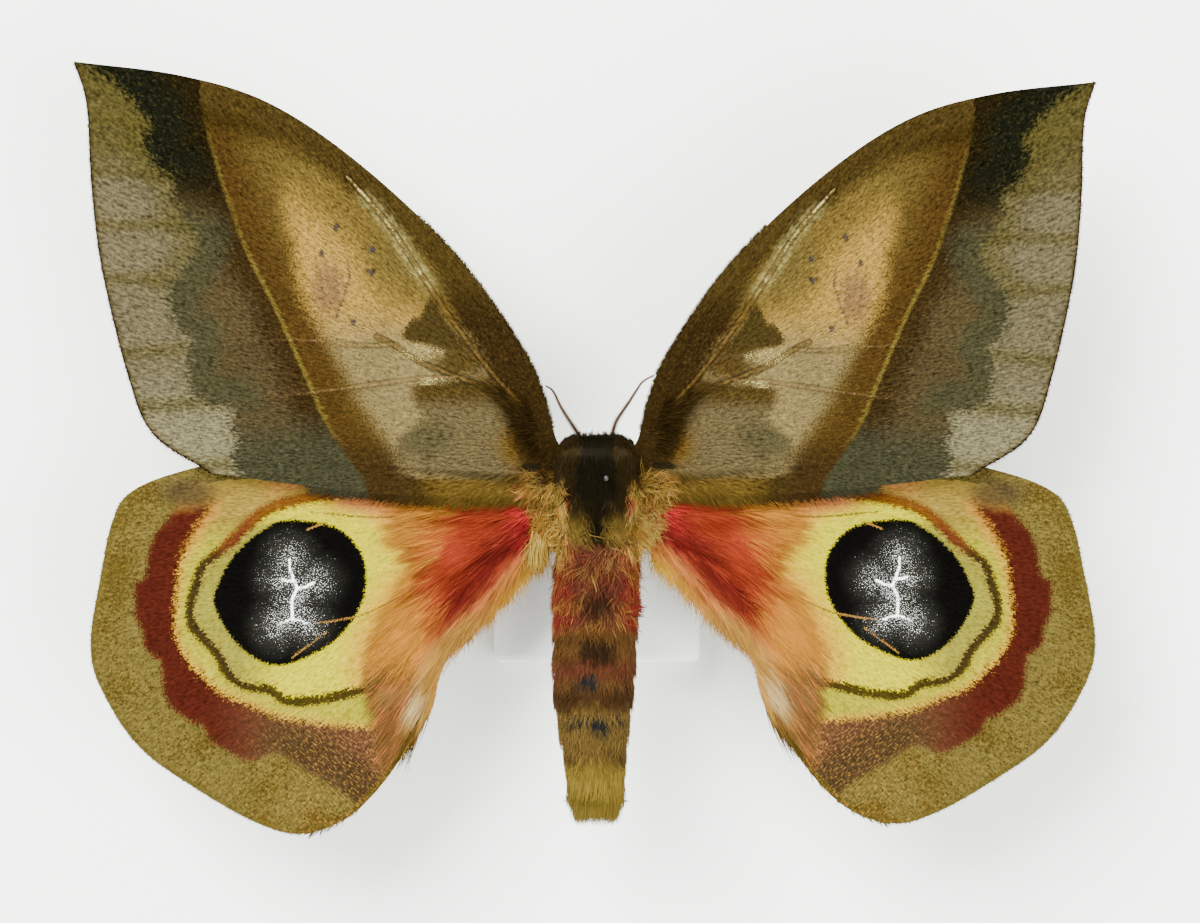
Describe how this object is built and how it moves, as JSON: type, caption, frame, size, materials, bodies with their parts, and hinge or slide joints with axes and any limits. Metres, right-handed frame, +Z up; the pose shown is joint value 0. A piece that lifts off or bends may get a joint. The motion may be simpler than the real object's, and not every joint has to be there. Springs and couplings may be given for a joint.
{
  "type": "pinned silk moth",
  "caption": "Still, life-size model of a set silk moth with its wings spread, an eyespot on each hindwing and a furry body, held level on a pin above a small foam block.",
  "frame": {"origin": "on the underside of the foam block, under the middle of the thorax, beside the pin", "axes": "+Y towards the head, +Z up from the wings' upper faces, +X towards the moth's right wing tips"},
  "size_m": [0.1253, 0.0946, 0.0315],
  "materials": {
    "dark_fur": "dense blackish-brown body fur",
    "brown_fur": "dark brown fur",
    "tan_fur": "ochre-tan fur with rose and dark patches",
    "forewing_scales": "matt wing scales in browns and pinkish grey",
    "hindwing_scales": "matt wing scales, cream, maroon and olive with a black eyespot",
    "eye": "dried black compound eye",
    "horn": "thin brown horn of the feelers",
    "foam": "white closed-cell foam",
    "steel": "bright pin steel"
  },
  "bodies": {
    "root": {"head": "dark_fur", "eye_left": "eye", "eye_right": "eye", "palp_left": "dark_fur", "palp_right": "dark_fur", "antenna_left": "horn", "antenna_right": "horn", "thorax": "dark_fur", "tegula_left": "brown_fur", "tegula_right": "brown_fur", "abdomen": "tan_fur", "forewing_left": "forewing_scales", "forewing_right": "forewing_scales", "hindwing_left": "hindwing_scales", "hindwing_right": "hindwing_scales", "foreleg_left": "brown_fur", "foreleg_right": "brown_fur", "midleg_left": "brown_fur", "midleg_right": "brown_fur", "hindleg_left": "brown_fur", "hindleg_right": "brown_fur", "stand_base": "foam", "stand_pin_lower": "steel", "stand_pin_upper": "steel"}
  },
  "joints": []
}
